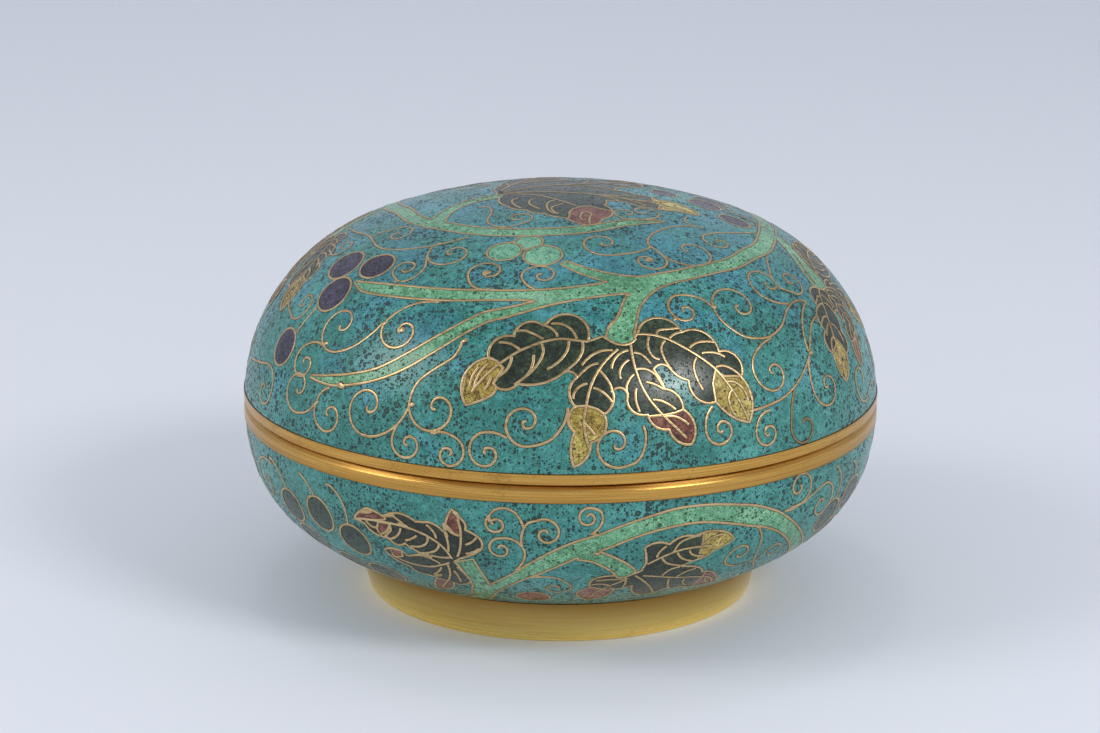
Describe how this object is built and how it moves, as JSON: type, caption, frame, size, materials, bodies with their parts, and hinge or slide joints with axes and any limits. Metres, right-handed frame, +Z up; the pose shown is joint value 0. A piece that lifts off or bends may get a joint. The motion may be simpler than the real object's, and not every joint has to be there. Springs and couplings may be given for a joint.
{
  "type": "cloisonne enamel box",
  "caption": "Round covered box on a foot ring, with a low domed lift-off lid, gilt rings along both mouths and a wired enamel grapevine on a turquoise ground.",
  "frame": {"origin": "centre of the circle on which the foot ring stands, at the height of the table", "axes": "+Z up along the box's axis of revolution, through the middle of the lid; -Y is the side that shows the large vine leaf"},
  "size_m": [0.12, 0.12, 0.076],
  "materials": {
    "enamel": "polished opaque vitreous enamel over copper, turquoise with fine open pits and gilt wires",
    "gilt": "fire-gilt copper alloy, turned and finely brushed, worn brown in places"
  },
  "bodies": {
    "root": {"bowl": "enamel", "bowl_rim": "gilt", "foot_ring": "gilt", "lid_rim": "gilt", "lid": "enamel"}
  },
  "joints": []
}
